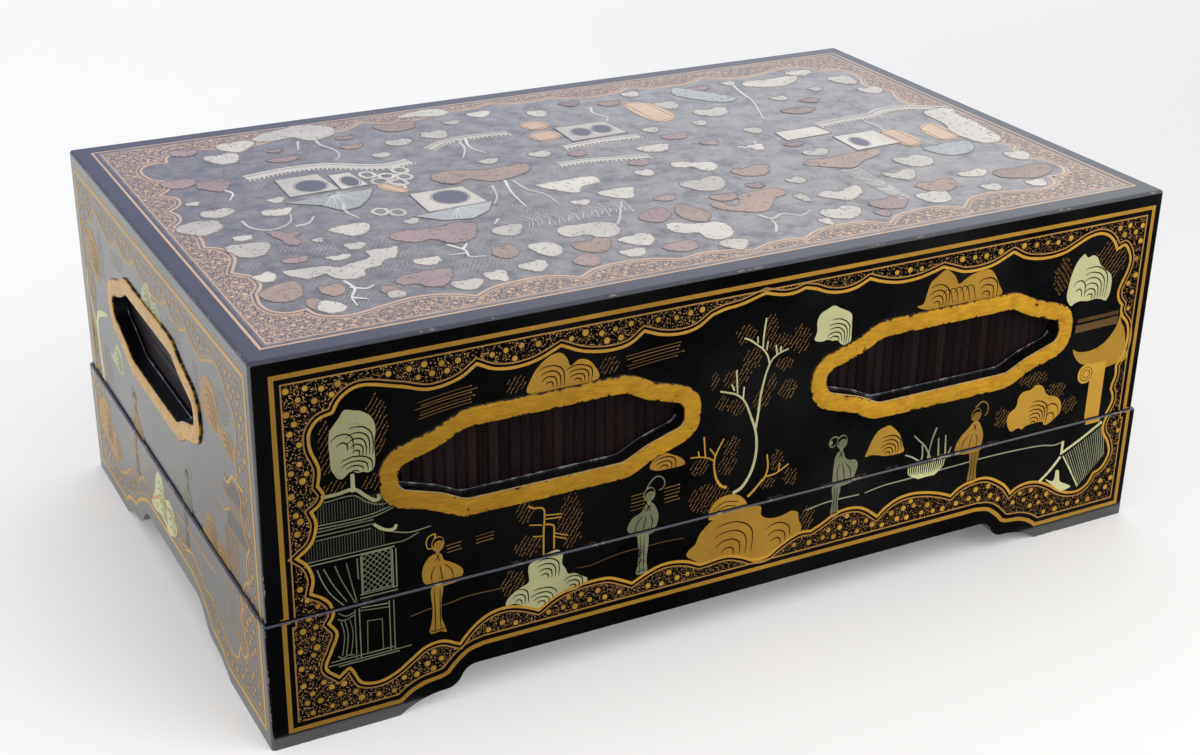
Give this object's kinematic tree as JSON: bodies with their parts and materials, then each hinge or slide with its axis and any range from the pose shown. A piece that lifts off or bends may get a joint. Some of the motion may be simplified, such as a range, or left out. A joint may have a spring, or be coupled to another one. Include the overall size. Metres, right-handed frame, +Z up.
{
  "type": "lacquered box with lift-off cover",
  "caption": "Rectangular lacquered wooden box: deep lift-off cover with framed cartouche openings over a reeded upstand, on a base with bracket feet.",
  "frame": {"origin": "middle of the box in plan, on the surface that the bracket feet stand on", "axes": "+X to the right along the long front, +Y from front to back, +Z up"},
  "size_m": [0.4024, 0.2494, 0.155],
  "materials": {
    "lacquer": "black lacquer, glossy, painted in gold, pale green, cream and red-brown",
    "gilt": "gilt over raised ground, satin, slightly worn",
    "reed": "dark red-brown stained reeds, satin",
    "inner_wood": "black lacquered wood, satin",
    "raw_wood": "aged bare wood, matt"
  },
  "bodies": {
    "base": {"base_front": "lacquer", "base_back": "lacquer", "base_left": "lacquer", "base_right": "lacquer", "base_floor": "inner_wood", "foot_block_front_left": "raw_wood", "foot_block_front_right": "raw_wood", "foot_block_back_left": "raw_wood", "foot_block_back_right": "raw_wood", "liner_front": "inner_wood", "liner_back": "inner_wood", "liner_left": "inner_wood", "liner_right": "inner_wood", "reeding_front": "reed", "reeding_back": "reed", "reeding_left": "reed", "reeding_right": "reed"},
    "cover": {"cover_front": "lacquer", "cover_back": "lacquer", "cover_left": "lacquer", "cover_right": "lacquer", "cover_top": "lacquer", "frame_front_left": "gilt", "frame_front_right": "gilt", "frame_back_left": "gilt", "frame_back_right": "gilt", "frame_left": "gilt", "frame_right": "gilt"}
  },
  "joints": [
    {"name": "cover_lift", "type": "slide", "parent": "base", "child": "cover", "axis": [0, 0, 1], "range_m": [0, 0.12]}
  ]
}
